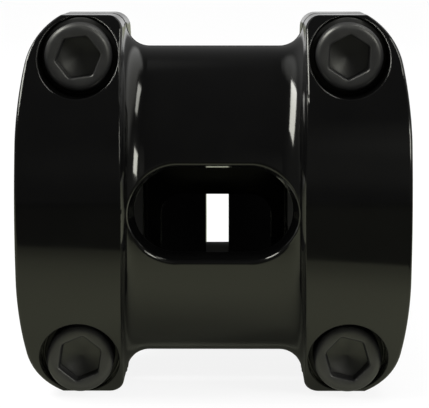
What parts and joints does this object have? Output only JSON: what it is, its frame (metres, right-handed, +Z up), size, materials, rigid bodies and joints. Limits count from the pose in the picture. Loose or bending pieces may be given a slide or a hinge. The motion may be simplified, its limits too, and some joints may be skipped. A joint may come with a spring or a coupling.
{
  "type": "handlebar stem",
  "caption": "Short black handlebar stem with a removable faceplate, oval window, recessed socket head bolts and a split steerer clamp at the back.",
  "frame": {"origin": "centre of the handlebar bore", "axes": "+X along the handlebar to the right seen from the front, +Y from the faceplate back to the steerer tube, +Z up the steerer tube"},
  "size_m": [0.0488, 0.0978, 0.0482],
  "materials": {
    "black_anodised": "gloss black anodised",
    "black_oxide_steel": "satin black oxide"
  },
  "bodies": {
    "stem_body": {"stem_body": "black_anodised"},
    "faceplate": {"faceplate": "black_anodised"},
    "washer_upper_left": {"washer_upper_left": "black_oxide_steel"},
    "bolt_upper_left": {"bolt_upper_left": "black_oxide_steel"},
    "washer_upper_right": {"washer_upper_right": "black_oxide_steel"},
    "bolt_upper_right": {"bolt_upper_right": "black_oxide_steel"},
    "washer_lower_left": {"washer_lower_left": "black_oxide_steel"},
    "bolt_lower_left": {"bolt_lower_left": "black_oxide_steel"},
    "washer_lower_right": {"washer_lower_right": "black_oxide_steel"},
    "bolt_lower_right": {"bolt_lower_right": "black_oxide_steel"},
    "pinch_washer_upper": {"pinch_washer_upper": "black_oxide_steel"},
    "pinch_bolt_upper": {"pinch_bolt_upper": "black_oxide_steel"},
    "pinch_washer_lower": {"pinch_washer_lower": "black_oxide_steel"},
    "pinch_bolt_lower": {"pinch_bolt_lower": "black_oxide_steel"}
  },
  "joints": [
    {"name": "faceplate_lift_off", "type": "slide", "parent": "stem_body", "child": "faceplate", "axis": [0, -1, 0], "range_m": [0, 0.025]},
    {"name": "washer_upper_left_travel", "type": "slide", "parent": "faceplate", "child": "washer_upper_left", "axis": [0, -1, 0], "range_m": [0, 0.0096]},
    {"name": "bolt_upper_left_turn", "type": "hinge", "parent": "washer_upper_left", "child": "bolt_upper_left", "pos_m": [-0.0169, -0.0094, 0.019], "axis": [0, -1, 0], "range_deg": [0, 4320]},
    {"name": "washer_upper_right_travel", "type": "slide", "parent": "faceplate", "child": "washer_upper_right", "axis": [0, -1, 0], "range_m": [0, 0.0096]},
    {"name": "bolt_upper_right_turn", "type": "hinge", "parent": "washer_upper_right", "child": "bolt_upper_right", "pos_m": [0.0169, -0.0094, 0.019], "axis": [0, -1, 0], "range_deg": [0, 4320]},
    {"name": "washer_lower_left_travel", "type": "slide", "parent": "faceplate", "child": "washer_lower_left", "axis": [0, -1, 0], "range_m": [0, 0.0096]},
    {"name": "bolt_lower_left_turn", "type": "hinge", "parent": "washer_lower_left", "child": "bolt_lower_left", "pos_m": [-0.0169, -0.0094, -0.019], "axis": [0, -1, 0], "range_deg": [0, 4320]},
    {"name": "washer_lower_right_travel", "type": "slide", "parent": "faceplate", "child": "washer_lower_right", "axis": [0, -1, 0], "range_m": [0, 0.0096]},
    {"name": "bolt_lower_right_turn", "type": "hinge", "parent": "washer_lower_right", "child": "bolt_lower_right", "pos_m": [0.0169, -0.0094, -0.019], "axis": [0, -1, 0], "range_deg": [0, 4320]},
    {"name": "pinch_washer_upper_travel", "type": "slide", "parent": "stem_body", "child": "pinch_washer_upper", "axis": [-1, 0, 0], "range_m": [0, 0.0096]},
    {"name": "pinch_bolt_upper_turn", "type": "hinge", "parent": "pinch_washer_upper", "child": "pinch_bolt_upper", "pos_m": [-0.0082, 0.0686, 0.0088], "axis": [-1, 0, 0], "range_deg": [0, 4320]},
    {"name": "pinch_washer_lower_travel", "type": "slide", "parent": "stem_body", "child": "pinch_washer_lower", "axis": [1, 0, 0], "range_m": [0, 0.0096]},
    {"name": "pinch_bolt_lower_turn", "type": "hinge", "parent": "pinch_washer_lower", "child": "pinch_bolt_lower", "pos_m": [0.0082, 0.0686, -0.017], "axis": [1, 0, 0], "range_deg": [0, 4320]}
  ],
  "couplings": [
    {"joint": "bolt_upper_left_turn", "follows": "washer_upper_left_travel", "rad_per_m": 7854},
    {"joint": "bolt_upper_right_turn", "follows": "washer_upper_right_travel", "rad_per_m": 7854},
    {"joint": "bolt_lower_left_turn", "follows": "washer_lower_left_travel", "rad_per_m": 7854},
    {"joint": "bolt_lower_right_turn", "follows": "washer_lower_right_travel", "rad_per_m": 7854},
    {"joint": "pinch_bolt_upper_turn", "follows": "pinch_washer_upper_travel", "rad_per_m": 7854},
    {"joint": "pinch_bolt_lower_turn", "follows": "pinch_washer_lower_travel", "rad_per_m": 7854}
  ]
}
